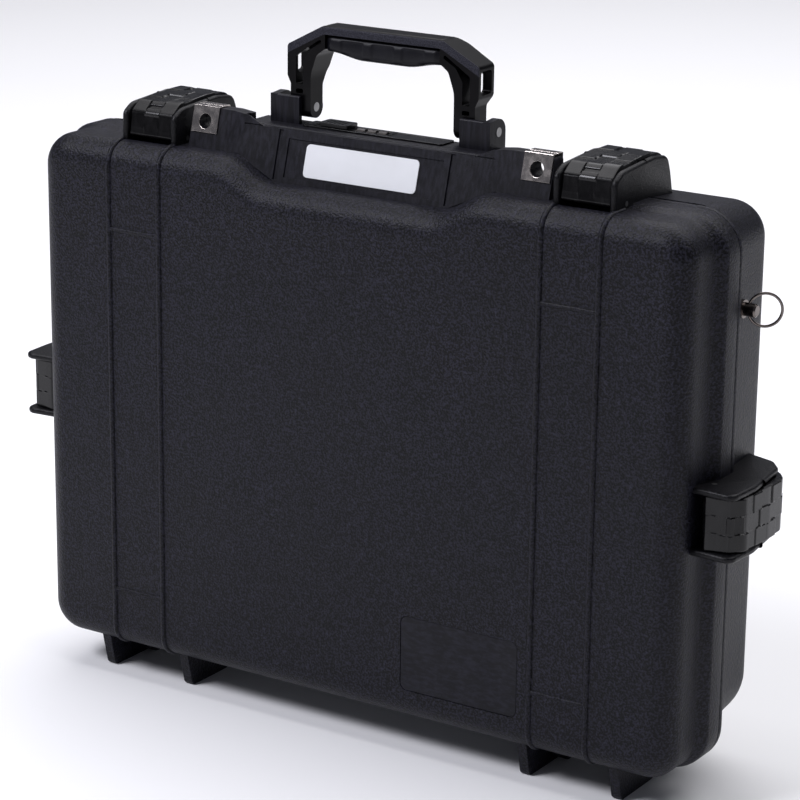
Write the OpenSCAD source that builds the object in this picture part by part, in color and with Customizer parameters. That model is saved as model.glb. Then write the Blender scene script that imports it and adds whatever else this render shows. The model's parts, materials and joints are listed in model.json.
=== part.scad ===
// Hard carrying case for a laptop, standing on its hinge side with the handle up.
// X runs to the right, Y away from the viewer, Z up. The origin is the bottom centre of the case.

/* [Case] */
// Width over the flanges where lid and base meet
case_w = 502; // [470:1:540]
// Height of the flange's lower edge above the ground
case_z = 20; // [20:0.5:24]
// Height of the flange's upper edge above the ground
case_top = 377.7; // [350:0.1:400]
// Depth of the lid
lid_depth = 54; // [52:0.5:60]
// Depth of the base
base_depth = 67; // [60:0.5:80]
// Corner radius of the flange
corner_r = 27; // [24:1:32]
// Corner radius of the lid and of the base's upper corners
lid_corner_r = 22; // [20:1:26]
// Corner radius at the base's lower corners
base_corner_r = 38; // [30:1:44]
// Radius along the lid's front edges
front_r = 16; // [12:1:18]
// Radius along the base's back edges
back_r = 20; // [16:0.5:20]
// How far the flange stands out past the lid's wall
flange_reach = 6.5; // [5:0.5:7]
// How far the flange runs forward from the seam
flange_depth = 15.5; // [13:0.5:16]
// How much the base narrows on each side towards its back
base_taper = 6; // [3:0.5:8]
// How far the base's lower side steps in behind its narrow flange
base_step = 7; // [4:0.5:8]
// How far the base's side walls step in behind that flange
side_step = 4.4; // [2:0.2:5]
// Width of the narrow flange round the base
base_band = 4; // [3:0.5:6]

/* [Inside] */
// Thickness of the lid's side walls
side_wall = 4.5; // [4:0.5:8]
// Thickness of the lid's upper wall under the hollow
upper_wall = 3.4; // [3:0.2:6]
// Thickness of the lower walls
lower_wall = 4; // [3.6:0.2:8]
// Thickness of the large front and back faces
face_wall = 4; // [3:0.5:5]
// Radius inside the base along its back edges
base_inner_r = 10; // [6:1:14]
// Width of the seal
seal_w = 3.4; // [2.6:0.2:4]
// Depth of the groove that holds the seal
seal_depth = 4; // [3:0.5:6]

/* [Top panel and deck] */
// Depth of the hollow in the lid's upper edge
dip_depth = 14; // [8:0.5:16]
// Half width of the hollow's flat bottom
dip_half = 65; // [50:1:80]
// Length of the ramp on each side of the hollow
dip_ramp = 32; // [28:1:34]
// Lean of the front panel from upright, in degrees
lean = 15.5; // [10:0.5:20]
// Height of the front panel's foot above the ground
panel_foot = 362; // [355:0.5:363]
// Distance of the panel's foot in front of the seam
panel_out = 34.8; // [34:0.2:36]
// Height of the deck under the handle
deck_top = 395.8; // [392:0.2:397]
// Half width of the deck
deck_half = 94.5; // [92:0.5:98]
// Distance from the seam to the deck's front edge
deck_out = 23.5; // [22:0.5:24]
// Height of the lock tabs on each side of the deck
tab_top = 401.5; // [399:0.5:404]
// Gap between each lock tab and the latch ear beside it
tab_clear = 5.8; // [4:0.2:8]
// Thickness of each lock tab of the base
tab_t = 4.9; // [4:0.1:5.6]
// Distance of the tabs' joint in front of the seam
tab_out = 19.2; // [18.6:0.2:20]

/* [Padlock holes] */
// Distance of each padlock hole from its tab's outer end
hole_in = 11; // [10.6:0.2:14]
// Height of the padlock holes
hole_z = 392.7; // [390:0.1:393]
// Radius of the padlock holes
hole_r = 4.8; // [3.5:0.1:5]
// Width of the steel plates
plate_w = 20.5; // [18:0.5:22]
// Thickness of the steel plates
plate_t = 1; // [0.8:0.1:1.2]
// Length of the plates down the tab
plate_drop = 16; // [15:0.5:17]

/* [Handle] */
// Height of the handle's top above its pivots
handle_rise = 54.6; // [50:0.2:62]
// Height of the handle's pivots above the deck
pivot_rise = 10.6; // [9:0.2:12]
// Distance of the handle's pivots in front of the seam
pivot_out = 2.6; // [2:0.1:3.4]
// Diameter of the handle's pins
handle_pin_d = 6; // [5:0.2:7]
// Half width inside the handle's arms
arm_in = 54; // [50:0.5:56]
// Half width outside the handle's arms
arm_out = 72; // [70:0.5:76]
// Half width of the handle's flat top
handle_flat = 44; // [40:0.5:50]
// Height of the handle's top rim
rim_h = 5.7; // [5:0.1:7]
// Depth of the handle in front of its pivots
handle_fore = 7; // [6:0.2:7.4]
// Depth of the handle's bar behind its pivots
handle_aft = 13.6; // [12:0.2:16]
// Height of the soft grip in the middle
grip_h = 15.6; // [14:0.2:18]
// How much less high the grip is at its ends
grip_rise = 4; // [2:0.5:5]
// Thickness of the bracket's outer cheek
cheek_t = 5; // [4:0.2:6]
// Thickness of the stop in front of each arm
stop_t = 3.2; // [2.4:0.2:3.2]
// Height of the stop above the pivots
stop_h = 7.6; // [6:0.2:10]

/* [Latches] */
// Distance of the top latches in from the flange's sides
latch_in = 87.2; // [79:0.2:89]
// Height of the side latches
latch_z = 193; // [150:1:240]
// Span over a pair of latch ears
ear_span = 44; // [40:0.5:46]
// Thickness of a latch ear
ear_t = 4.5; // [4:0.1:5]
// Height of the ears above the flange
ear_h = 23.8; // [22:0.2:26]
// Diameter of the latch pins
latch_pin_d = 3.4; // [3:0.2:4.4]
// Distance of the latch pins in front of the seam
latch_pin_out = 24; // [23:0.5:25]
// Diameter of the strike pins
strike_d = 4; // [3.4:0.2:4.4]
// Distance of the strike pins behind the seam
strike_back = 12.5; // [11:0.5:14]
// Height of the strike pins above the flange
strike_h = 8; // [7.4:0.2:8.4]
// Thickness of the latch lever's skin
lever_t = 4.6; // [4:0.2:5]
// Height of the lever's face above the flange
lever_h = 23.6; // [22.8:0.2:24.6]
// Reach of the levers behind the seam
lever_reach = 34; // [30:0.5:38]
// Height of the raised blocks on the lever
brick_h = 0.9; // [0.5:0.1:1.2]

/* [Feet and hinge] */
// Distance of the inner fins from the middle
fin_in = 134.2; // [120:0.2:140]
// Distance of the outer fins from the middle
fin_out = 201; // [190:0.5:208]
// Thickness of a fin
fin_t = 7; // [6:0.2:8]
// Radius of the hinge knuckles
knuckle_r = 9; // [8:0.1:9]
// Diameter of the hinge pins
hinge_pin_d = 5; // [4:0.2:6]
// Reach of the front feet before the hinge
foot_fore = 40; // [34:0.5:44]
// Reach of the rear feet behind the hinge
foot_aft = 46; // [40:0.5:50]

/* [Combination lock] */
// Diameter of the number wheels
dial_d = 14; // [12:0.2:15]
// Width of each number wheel
dial_w = 6; // [5:0.2:6.6]
// Spacing of the number wheels
dial_step = 8.2; // [7.6:0.1:9]
// Place of the middle wheel across the case
dial_x = -6.3; // [-10:0.1:-4]
// Diameter of the wheels' axle
axle_d = 3; // [2:0.2:4]
// Length of the slider's button
button_w = 22; // [18:0.5:24]
// Travel of the slider
button_travel = 6; // [3:0.5:6.5]

/* [Strap fittings] */
// Height of the strap studs
stud_z = 315; // [290:1:325]
// Distance of the strap studs behind the seam
stud_back = 14.5; // [10:0.5:18]
// Radius of a stud's foot
stud_r = 5.8; // [5:0.1:7]
// Length of a stud outside the wall
stud_len = 11.4; // [10:0.2:13]
// Outer radius of a split ring
ring_r = 11.3; // [9:0.1:14]
// Diameter of the ring's wire
wire_d = 1.9; // [1.4:0.1:2.2]

/* [Ribs and plates] */
// Distance of the inner rib of each pair from the middle
rib_in = 144; // [142:1:150]
// Distance of the outer rib of each pair from the middle
rib_out = 185; // [178:1:188]
// Radius of the half-round ribs
rib_r = 2; // [1.4:0.1:2.4]
// How far the ribs stand out
rib_h = 1.5; // [1:0.1:1.6]
// Width of the bare plate on the lid
sign_w = 87.4; // [70:0.2:100]
// Height of the bare plate on the lid
sign_h = 51.3; // [40:0.1:60]

/* [Hidden] */
$fn = 72;

gap = 0.3;         // between pieces that pass each other
pin_gap = 0.05;    // around a pin in its bore
over = 1;          // how far a cut runs past the face it opens

shell_col = [0.10, 0.10, 0.11];
gloss_col = [0.07, 0.07, 0.08];
steel_col = [0.72, 0.72, 0.70];
brass_col = [0.70, 0.58, 0.32];
grip_col = [0.08, 0.08, 0.085];
plate_col = [0.85, 0.85, 0.83];

seam = (lid_depth - base_depth) / 2;      // Y of the plane where lid and base meet
front = seam - lid_depth;
back = seam + base_depth;
half_w = case_w / 2;
wall_x = half_w - flange_reach;           // outside of the lid's side wall
lid_top = case_top - 2.2;
lid_low = case_z + 2.2;
base_x = half_w - side_step;              // outside of the base's side wall at the seam
base_slope = base_taper / base_depth;
dip_top = lid_top - dip_depth;
dip_angle = atan(dip_depth / dip_ramp);
base_low = case_z + base_step;
in_half = wall_x - side_wall;             // half width of the space inside
in_top = dip_top - upper_wall;
in_low = lid_low + lower_wall;

panel_y = seam - panel_out;               // the panel's foot
deck_y = seam - deck_out;                 // the deck's front edge
deck_low = case_top + 0.4;                // underside of the deck over the lid's flange
tab_y = seam - tab_out;                   // where the two tabs of a pair meet
pivot_y = seam - pivot_out;
pivot_z = deck_top + pivot_rise;
handle_top = pivot_z + handle_rise;
hinge_z = knuckle_r;

latch_x = half_w - latch_in;              // middle of each top latch
tab_half = latch_x - ear_span / 2 - tab_clear;
hole_x = tab_half - hole_in;

ear_in = ear_span / 2 - ear_t;            // from the latch's middle to an ear's inner face
lever_half = ear_in - 0.8;
latch_pin_h = 1.2;                        // the latch pin's height above the flange
barrel_r = latch_pin_d / 2 + 2.6;
lever_front = 35.5;                       // distance of the lever's front face before the seam
strike_half = ear_in + ear_t - 1.6;       // the strike pins sit in blind bores
lock_y = seam - 8.5;                      // middle of the lock along Y
lock_t = 1.2;
lock_z = deck_top + lock_t;               // top of the lock's plate
dial_sink = 6;
dial_z = lock_z - dial_sink;              // centre of the number wheels
ring_line = ring_r - wire_d / 2;
stud_y = seam + stud_back;
stud_wall = base_x - base_slope * stud_back;
foot_len = 3;
ring_x = stud_wall + foot_len + 2.2;      // where the ring passes through the stud
ring_turn = 32;                           // how far the ring hangs turned to the back
ring_bore = wire_d / 2 + 1.2;             // wide enough for the curve of the ring's wire

// An outline in X and Z, drawn out along Y
module along_y(y0, y1) {
  translate([0, y1, 0]) rotate([90, 0, 0]) linear_extrude(y1 - y0) children();
}

// An outline in Y and Z, drawn out along X
module along_x(x0, x1) {
  translate([x0, 0, 0]) rotate([90, 0, 90]) linear_extrude(x1 - x0) children();
}

module on_both_sides() {
  children();
  mirror([1, 0, 0]) children();
}

module rounded_box(x0, x1, y0, y1, r) {
  translate([x0 + r, y0]) square([x1 - x0 - 2 * r, y1 - y0]);
  translate([x0, y0 + r]) square([x1 - x0, y1 - y0 - 2 * r]);
  for (x = [x0 + r, x1 - r], y = [y0 + r, y1 - r]) translate([x, y]) circle(r);
}

// A point kept to a thousandth of a millimetre, so that an arc drawn in two places stays the same arc
function kept(p) = [round(p.x * 1000) / 1000, round(p.y * 1000) / 1000];

// The arc that rounds corner b between a and c
function corner_arc(a, b, c, r, n = 6) = r == 0 ? [b] : let (
  u = (a - b) / norm(a - b), v = (c - b) / norm(c - b),
  turn = acos(u * v), centre = b + (u + v) / norm(u + v) * r / sin(turn / 2),
  start = b + u * r / tan(turn / 2) - centre, side = cross(u, v) > 0 ? -1 : 1, sweep = 180 - turn)
  [for (i = [0 : n]) let (w = side * sweep * i / n)
    kept(centre + [start.x * cos(w) - start.y * sin(w), start.x * sin(w) + start.y * cos(w)])];

// A polygon whose corners [x, y, radius] are rounded
function rounded(p) = [for (i = [0 : len(p) - 1]) let (n = len(p), a = p[(i + n - 1) % n], b = p[i],
  c = p[(i + 1) % n]) each corner_arc([a.x, a.y], [b.x, b.y], [c.x, c.y], b.z)];

// One half of the case's section: square at the seam, round at its far edge, narrowing on the way
module half_section(low, high, y_seam, y_far, r, taper = 0) {
  s = sign(y_far - y_seam);
  polygon(rounded([[y_seam, low, 0], [y_far, low + taper, r], [y_far, high - taper, r], [y_seam, high, 0]]));
}

// The left and right corners of the case: that half section turned through a quarter circle
module swept_corners(x, z, upper, reach, y_seam, y_far, r, taper = 0) {
  on_both_sides() translate([x, 0, z]) rotate([-90, 0, 0]) rotate(upper ? -90 : 0) rotate_extrude(angle = 90)
    polygon(rounded([[0, y_seam, 0], [reach, y_seam, 0], [reach - taper, y_far, r], [0, y_far, 0]]));
}

// The square corners that make room for those, from the height z upwards
module corner_room(x, z, reach, y0, y1) {
  on_both_sides() translate([x - reach, y0, z]) cube([reach + over, y1 - y0, reach + over]);
}

// ---- Lid ----

module lid_block(top) {
  along_x(-half_w, half_w) half_section(lid_low, top, seam, front, front_r);
}

// The lid's body before its corners are rounded, with the hollow in its upper edge and a ramp at each end
module lid_core() {
  reach = dip_half + dip_ramp;
  intersection() {
    linear_extrude(case_top + over) rotate(90) half_section(-wall_x, wall_x, seam, front, front_r);
    union() {
      intersection() {
        lid_block(dip_top);
        along_x(-reach, reach) translate([front - over, 0]) square([lid_depth + over, case_top]);
      }
      difference() {
        lid_block(lid_top);
        along_x(-reach, reach) translate([front - over, 0]) square([lid_depth + 2 * over, case_top + over]);
      }
      on_both_sides() intersection() {
        translate([dip_half, 0, dip_top]) rotate([0, -dip_angle, 0])
          translate([-dip_ramp, 0, -dip_top]) along_x(0, 3 * dip_ramp)
          half_section(lid_top - 70, dip_top, seam, front, front_r);
        along_x(dip_half, reach) translate([front - over, dip_top - 50]) square([lid_depth + over, 90]);
      }
    }
  }
}

module lid_body() {
  r = lid_corner_r;
  difference() {
    lid_core();
    corner_room(wall_x, lid_low - over, r, front - over, seam + over);
    corner_room(wall_x, lid_top - r, r, front - over, seam + over);
  }
  swept_corners(wall_x - r, lid_low + r, false, r, seam, front, front_r);
  swept_corners(wall_x - r, lid_top - r, true, r, seam, front, front_r);
}

module lid_flange() {
  y0 = seam - flange_depth;
  y1 = y0 - flange_reach;
  intersection() {
    along_y(y1, seam) rounded_box(-half_w, half_w, case_z, case_top, corner_r);
    along_x(-half_w, half_w) polygon([[seam, case_z], [seam, case_top], [y0, case_top],
      [y1, case_top - flange_reach], [y1, case_z + flange_reach], [y0, case_z]]);
    linear_extrude(case_top) polygon([[-half_w, seam], [half_w, seam], [half_w, y0],
      [half_w - flange_reach, y1], [flange_reach - half_w, y1], [-half_w, y0]]);
  }
}

// Half of the raised edge over the deck: low in the middle, rising in a curve to the lock tab
function edge_outline(low) = [[-over, low, 0], [-over, deck_top - 1.1, 0], [80, deck_top - 1.1, 6],
  [92, tab_top - 1.4, 10], [104, tab_top, 20], [tab_half, tab_top, 4], [tab_half, low, 0]];

// The leaning panel with its raised middle block and recess, and the lock tabs at its ends
module panel_form() {
  y_top = panel_y + (tab_top - panel_foot) * tan(lean);
  intersection() {
    on_both_sides() along_y(front, tab_y) polygon(rounded(edge_outline(dip_top - 6)));
    union() {
      along_x(-deck_half - gap, deck_half + gap) polygon([[panel_y - 6 * tan(lean), panel_foot - 6],
        [y_top, tab_top], [deck_y - gap, tab_top], [deck_y - gap, panel_foot - 6]]);
      on_both_sides() along_x(deck_half + gap, tab_half) polygon([[panel_y - 6 * tan(lean), panel_foot - 6],
        [y_top, tab_top], [tab_y - gap, tab_top], [tab_y - gap, panel_foot - 6]]);
    }
  }
}

module on_lean() {
  translate([0, panel_y, panel_foot]) rotate([-lean, 0, 0]) children();
}

recess_w = 117;       // recess in the panel's middle block
recess_low = 3.3;     // from the panel's foot up the lean
recess_h = 25.2;

module panel_cuts() {
  on_lean() {
    translate([-recess_w / 2, -over, recess_low]) cube([recess_w, over + 0.8, recess_h]);
    on_both_sides() translate([recess_w / 2 + 4.5, -over, 1]) cube([3.6, over + 1, 32.4]);
    on_both_sides() translate([80, -over, 33.6]) cube([14.5, over + 0.8, 0.9]);
  }
}

// Outline of a latch ear in Y and in height over the flange, for the upper edge and for the sides
function top_ear() = [[seam - 37.5, -8, 0], [seam - 37.5, 16, 6], [seam - 29, ear_h - 2.4, 14],
  [seam + 10, ear_h + 0.2, 20], [seam + 28, ear_h - 2, 8], [seam + 32, 12, 8], [seam + 35.6, -1.5, 3],
  [seam + 41, -8, 0]];
function side_ear() = [[seam - 37, -10, 0], [seam - 39.6, ear_h - 1.8, 6], [seam - 12, ear_h, 20],
  [seam + 28, ear_h - 5, 8], [seam + 38, ear_h - 13, 8], [seam + 43, -5, 3], [seam + 47, -14, 0]];

// Places a latch's own frame (Y, width, height over the flange) on the upper edge
module at_top(side) {
  translate([side * latch_x, 0, case_top]) children();
}

// The same on a side wall
module at_side(side) {
  mirror([side < 0 ? 1 : 0, 0, 0]) translate([half_w, 0, latch_z]) rotate([0, 90, 0]) children();
}

module at_latches() {
  for (side = [-1, 1]) {
    at_top(side) children();
    at_side(side) children();
  }
}

// The two ears of a latch, cut off at the seam: s = -1 keeps the lid's part, 1 the base's
module ear_pair(outline, s) {
  y0 = s < 0 ? seam - 60 : seam;
  intersection() {
    for (m = [0, 1]) mirror([m, 0, 0]) along_x(ear_in, ear_in + ear_t) polygon(rounded(outline));
    translate([-ear_span, y0, -30]) cube([2 * ear_span, 60, 80]);
  }
}

module ears(s) {
  for (side = [-1, 1]) {
    at_top(side) ear_pair(top_ear(), s);
    at_side(side) ear_pair(side_ear(), s);
  }
}

// A bore across a latch, at a place in Y and in height over the flange
module cross_bore(y, h, d, half) {
  translate([-half, y, h]) rotate([0, 90, 0]) cylinder(h = 2 * half, d = d);
}

// Room in the lid's wall for the lever's barrel and front edge when it swings
module lever_room() {
  fore = lever_front - latch_pin_out + 1.1;
  aft = barrel_r + 0.5;
  translate([-lever_half - 0.6, seam - latch_pin_out - fore, -flange_reach - 1.4])
    cube([2 * lever_half + 1.2, fore + aft, flange_reach + 1.5]);
}

// Half-round ribs that run up a face and over its edges
module rib_loop(x, low, high, y, s, r) {
  sunk = rib_r - rib_h;
  ya = y + s * (r);
  translate([x, y + s * sunk, low + r]) cylinder(h = high - low - 2 * r, r = rib_r);
  for (e = [0, 1]) let (z = e == 0 ? low + r : high - r, a = e == 0 ? -1 : 1) {
    translate([x, y + s * r, z]) intersection() {
      rotate([0, 90, 0]) rotate_extrude() translate([r - sunk, 0]) circle(rib_r);
      translate([-5, s > 0 ? -2 * r : 0, a > 0 ? 0 : -2 * r]) cube([10, 2 * r, 2 * r]);
    }
    translate([x, ya, z + a * (r - sunk)]) rotate([s > 0 ? -90 : 90, 0, 0]) cylinder(h = 14, r = rib_r);
  }
}

cross_low = case_z + 44.7;
cross_high = case_top - 60;

module lid_ribs() {
  on_both_sides() {
    for (x = [rib_in, rib_out]) rib_loop(x, lid_low, lid_top, front, 1, front_r);
    for (z = [cross_low, cross_high]) translate([rib_in, front + 0.5, z]) rotate([0, 90, 0])
      cylinder(h = rib_out - rib_in, r = rib_r - 0.5);
  }
}

// The lid's foot and hinge knuckle
module lid_fin(x) {
  along_x(x - fin_t / 2, x + fin_t / 2) {
    polygon(rounded([[seam - foot_fore - 4.6, lid_low + 2, 0], [seam - foot_fore + 1, 0, 4],
      [seam, 0, 0], [seam, hinge_z, 0], [seam - 8, lid_low + 2, 0]]));
    translate([seam, hinge_z]) circle(knuckle_r);
  }
}

module hinge_bores() {
  for (side = [-1, 1]) translate([side * (fin_in + fin_out) / 2, 0, 0])
    cross_bore(seam, hinge_z, hinge_pin_d + 2 * pin_gap, (fin_out - fin_in) / 2 + fin_t);
}

module padlock_bores() {
  on_both_sides() translate([hole_x, front, hole_z]) rotate([-90, 0, 0]) cylinder(h = lid_depth, r = hole_r);
}

module seal_ring(w, y0, y1) {
  half = in_half + 3;
  along_y(y0, y1) difference() {
    rounded_box(-half - w, half + w, in_low - 1.2 - w, in_top + 3 + w, 20 + w);
    rounded_box(-half, half, in_low - 1.2, in_top + 3, 20);
  }
}

module cavity(low, y_seam, y_far, r, corner, taper = 0) {
  intersection() {
    along_y(min(y_seam, y_far), max(y_seam, y_far)) rounded_box(-in_half, in_half, low, in_top, corner);
    along_x(-half_w, half_w) half_section(low, in_top, y_seam, y_far, r, taper);
    linear_extrude(case_top) rotate(90) half_section(-in_half, in_half, y_seam, y_far, r, taper);
  }
}

sign_x = 91.4;        // middle of the bare plate
sign_z = 69.9;

// The lid's tub without its inside
module lid_form() {
  lid_body();
  lid_flange();
  lid_ribs();
}

module lid_shell() {
  color(shell_col) difference() {
    lid_form();
    cavity(in_low, seam + over, front + face_wall, front_r - face_wall + 1, 18);
    seal_ring(seal_w, seam - seal_depth, seam + over);
    at_latches() lever_room();
    along_y(front - over, front + 1)
      rounded_box(sign_x - sign_w / 2, sign_x + sign_w / 2, sign_z - sign_h / 2, sign_z + sign_h / 2, 5);
  }
}

module lid_panel() {
  color(shell_col) difference() {
    panel_form();
    lid_body();
    lid_flange();
    panel_cuts();
    padlock_bores();
  }
}

module lid_ears() {
  color(shell_col) difference() {
    ears(-1);
    lid_form();
    at_latches() cross_bore(seam - latch_pin_out, latch_pin_h, latch_pin_d + 2 * pin_gap, ear_span);
  }
}

module lid_feet() {
  color(shell_col) difference() {
    for (side = [-1, 1], x = [fin_in, fin_out]) lid_fin(side * x);
    lid_form();
    hinge_bores();
  }
}

module lid_seal() {
  color(grip_col) seal_ring(seal_w - 0.2, seam - seal_depth, seam - gap);
}

// ---- Base ----

module base_body() {
  r = corner_r;
  low_r = base_corner_r;
  difference() {
    intersection() {
      along_x(-half_w, half_w) half_section(base_low, case_top, seam, back, back_r, base_taper);
      linear_extrude(case_top) rotate(90) half_section(-base_x, base_x, seam, back, back_r, base_taper);
    }
    corner_room(base_x, base_low - over, low_r, seam - over, back + over);
    corner_room(base_x, case_top - r, r, seam - over, back + over);
  }
  swept_corners(base_x - low_r, base_low + low_r, false, low_r, seam, back, back_r, base_taper);
  swept_corners(base_x - r, case_top - r, true, r, seam, back, back_r, base_taper);
}

// The deck over the lid's flange, which carries the handle and the lock
module deck() {
  along_x(-deck_half, deck_half) polygon(rounded([[deck_y, deck_low, 0], [deck_y, deck_top, 1.5],
    [seam + 2, deck_top, 3], [seam + 14, case_top, 6], [seam + 17, case_top - 6, 0], [seam, case_top - 6, 0],
    [seam, deck_low, 0]]));
}

// The base's lock tab with its shelf and two gussets
module base_tab() {
  shelf = deck_low + 4.5;
  intersection() {
    along_y(tab_y, tab_y + tab_t) polygon(rounded(edge_outline(deck_low)));
    along_x(deck_half - over, tab_half) translate([tab_y, deck_low]) square([tab_t, 40]);
  }
  along_x(deck_half - over, tab_half) polygon([[tab_y, deck_low], [tab_y, shelf], [seam, shelf],
    [seam + 8, case_top - 2], [seam + 8, case_top - 6], [seam, case_top - 6], [seam, deck_low]]);
  plate_x = hole_x - plate_w / 2;   // inner edge of the steel plate, which the gussets stay clear of
  for (x = [plate_x - 16.25, plate_x - 4]) along_x(x, x + 3)
    polygon([[tab_y + tab_t - 0.5, shelf - 0.5], [tab_y + tab_t - 0.5, tab_top - 7], [seam - 1, shelf - 0.5]]);
}

bracket_x = 82.8;     // outer face of a handle bracket
knee_r = 8.3;         // round of the bracket's cheek about the pin

// Bracket for one arm of the handle: a stop in front and a cheek outside
module handle_bracket() {
  stop_y = pivot_y - handle_fore - gap - stop_t;
  along_x(60.5, bracket_x) polygon(rounded([[stop_y, deck_top - 1, 0], [stop_y, pivot_z + stop_h, 1.2],
    [stop_y + stop_t, pivot_z + stop_h, 1], [stop_y + stop_t, deck_top - 1, 0]]));
  along_x(bracket_x - cheek_t, bracket_x) {
    translate([pivot_y, pivot_z]) circle(knee_r);
    polygon([[stop_y, deck_top - 1], [stop_y, pivot_z + stop_h], [stop_y + stop_t, pivot_z + stop_h],
      [pivot_y, pivot_z + knee_r], [pivot_y + knee_r, pivot_z], [pivot_y + knee_r, deck_top - 1]]);
  }
}

// The base's rear foot and hinge knuckle
module base_fin(x) {
  along_x(x - fin_t / 2, x + fin_t / 2) {
    polygon(rounded([[seam, 0, 0], [seam + foot_aft, 0, 4], [seam + foot_aft + 6, base_low + 10, 0],
      [seam + 6, base_low + 10, 0], [seam + 6, knuckle_r * 1.6, 4], [seam, hinge_z, 0]]));
    translate([seam, hinge_z]) circle(knuckle_r);
  }
}

module base_ribs() {
  on_both_sides() for (x = [rib_in, rib_out])
    rib_loop(x, base_low + base_taper, case_top - base_taper, back, -1, back_r);
}

// The base's tub and flange without ribs or inside
module base_outside() {
  base_body();
  along_y(seam, seam + base_band) rounded_box(-half_w, half_w, case_z, case_top, corner_r);
}

module base_form() {
  base_outside();
  base_ribs();
}

lock_left = -56;      // the lock's plate across the deck
lock_right = 50;
lock_half = 8;

module lock_room() {
  far = dial_step + dial_w / 2 + 1;
  translate([dial_x - far, lock_y - dial_d / 2 - 0.6, dial_z - dial_d / 2 - 0.6])
    cube([2 * far, dial_d + 1.2, lock_z]);
  translate([lock_left + 4, lock_y - 3, deck_top - 6])
    cube([dial_x - far - lock_left - 6, 6, lock_z]);
}

module stud_bore() {
  on_both_sides() translate([in_half - 2 * over, stud_y, stud_z]) rotate([0, 90, 0])
    cylinder(h = base_x - in_half + 4 * over, d = stud_r + 2 * pin_gap);
}

module base_shell() {
  color(shell_col) difference() {
    base_form();
    cavity(base_low + lower_wall, seam - over, back - face_wall, base_inner_r, 30,
      base_slope * (base_depth - face_wall + over));
    stud_bore();
  }
}

module base_deck() {
  color(shell_col) difference() {
    union() {
      deck();
      on_both_sides() {
        base_tab();
        handle_bracket();
      }
    }
    base_outside();
    padlock_bores();
    lock_room();
    on_both_sides() translate([bracket_x - cheek_t - over, pivot_y, pivot_z]) rotate([0, 90, 0])
      cylinder(h = cheek_t + 2 * over, d = handle_pin_d + 2 * pin_gap);
  }
}

module base_ears() {
  color(shell_col) difference() {
    ears(1);
    base_form();
    at_latches() cross_bore(seam + strike_back, strike_h, strike_d + 2 * pin_gap, strike_half + pin_gap);
  }
}

module base_feet() {
  shift = fin_t + 0.5;
  color(shell_col) difference() {
    for (side = [-1, 1], x = [fin_in + shift, fin_out - shift]) base_fin(side * x);
    base_form();
    hinge_bores();
  }
}

// ---- Pins ----

module hinge_pins() {
  color(steel_col) for (side = [-1, 1]) translate([side * (fin_in + fin_out) / 2, 0, 0])
    cross_bore(seam, hinge_z, hinge_pin_d, (fin_out - fin_in) / 2 + fin_t / 2);
}

module latch_pins() {
  color(steel_col) at_latches() cross_bore(seam - latch_pin_out, latch_pin_h, latch_pin_d, ear_span / 2);
}

module strike_pins() {
  color(steel_col) at_latches() cross_bore(seam + strike_back, strike_h, strike_d, strike_half);
}

module handle_pins() {
  color(steel_col) on_both_sides() translate([arm_in, pivot_y, pivot_z]) rotate([0, 90, 0])
    cylinder(h = bracket_x - arm_in + 0.3, d = handle_pin_d);
}

// ---- Latch lever ----

jaw_half = 9;
jaw_t = 4;

// The lever's skin from the side: front face, slanted edge, domed outer face and turned-down tail
lever_skin = [[seam - lever_front, 0, 1.5], [seam - lever_front + 2.5, lever_h - 7.6, 3],
  [seam - 24, lever_h - 1.2, 8], [seam + 4, lever_h + 0.4, 40], [seam + lever_reach - 10, lever_h, 8],
  [seam + lever_reach, lever_h - 7.4, 1.2], [seam + lever_reach - 3, lever_h - 9.4, 1.2],
  [seam + lever_reach - 12, lever_h - lever_t, 6], [seam - 22, lever_h - lever_t - 1.2, 6],
  [seam - lever_front + lever_t + 1.8, lever_h - 10, 3], [seam - lever_front + lever_t, 0, 1]];

// A raised block across part of the lever, from one place along its face to another
module brick(x0, x1, y0, y1) {
  along_x(x0, x1) intersection() {
    translate([0, brick_h]) polygon(rounded(lever_skin));
    translate([seam + y0, lever_h - 14]) square([y1 - y0, 20]);
  }
}

// A latch in its own frame: it turns on the lid's pin and its jaw closes behind the base's strike pin
module lever() {
  py = seam - latch_pin_out;
  arc = norm([latch_pin_out + strike_back, strike_h - latch_pin_h]) + strike_d / 2 + gap;
  w = 2 * lever_half / 3;
  color(gloss_col) difference() {
    union() {
      along_x(-lever_half, lever_half) polygon(rounded(lever_skin));
      along_x(-lever_half, lever_half) {
        translate([py, latch_pin_h]) circle(barrel_r);
        polygon([[py - barrel_r, latch_pin_h], [seam - lever_front + 3, 8], [seam - lever_front + 5, lever_h - 9],
          [py + barrel_r, lever_h - 3], [py + barrel_r, latch_pin_h]]);
      }
      along_x(-jaw_half, jaw_half) intersection() {
        translate([py, latch_pin_h]) difference() {
          circle(arc + jaw_t);
          circle(arc);
        }
        translate([py, latch_pin_h]) polygon([[0, 0], [60, 60 * tan(4)], [60, 60 * tan(30)]]);
        translate([py, latch_pin_h]) square([80, lever_h - 2 - latch_pin_h]);
      }
      for (x = [-lever_half, -1.2, lever_half - 2.4]) along_x(x, x + 2.4)
        polygon([[py + 2, lever_h - 2], [py + 2, lever_h - 12], [py + arc + 2, lever_h - 10],
          [py + arc + 2, lever_h - 2]]);
      brick(-lever_half, -w / 2, -27, -12);
      brick(w / 2, lever_half, -22, -6);
      brick(-w / 2, w / 2, -14, 2);
      brick(-lever_half, -w / 2, 0, 14);
      brick(w / 2, lever_half, 8, 20);
      brick(-w / 2, w / 2, 16, 24);
    }
    cross_bore(py, latch_pin_h, latch_pin_d + 2 * pin_gap, ear_span);
    translate([-w / 2 + 2, seam + 5, lever_h - 0.8]) cube([w - 4, 5, 3]);
  }
}

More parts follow.
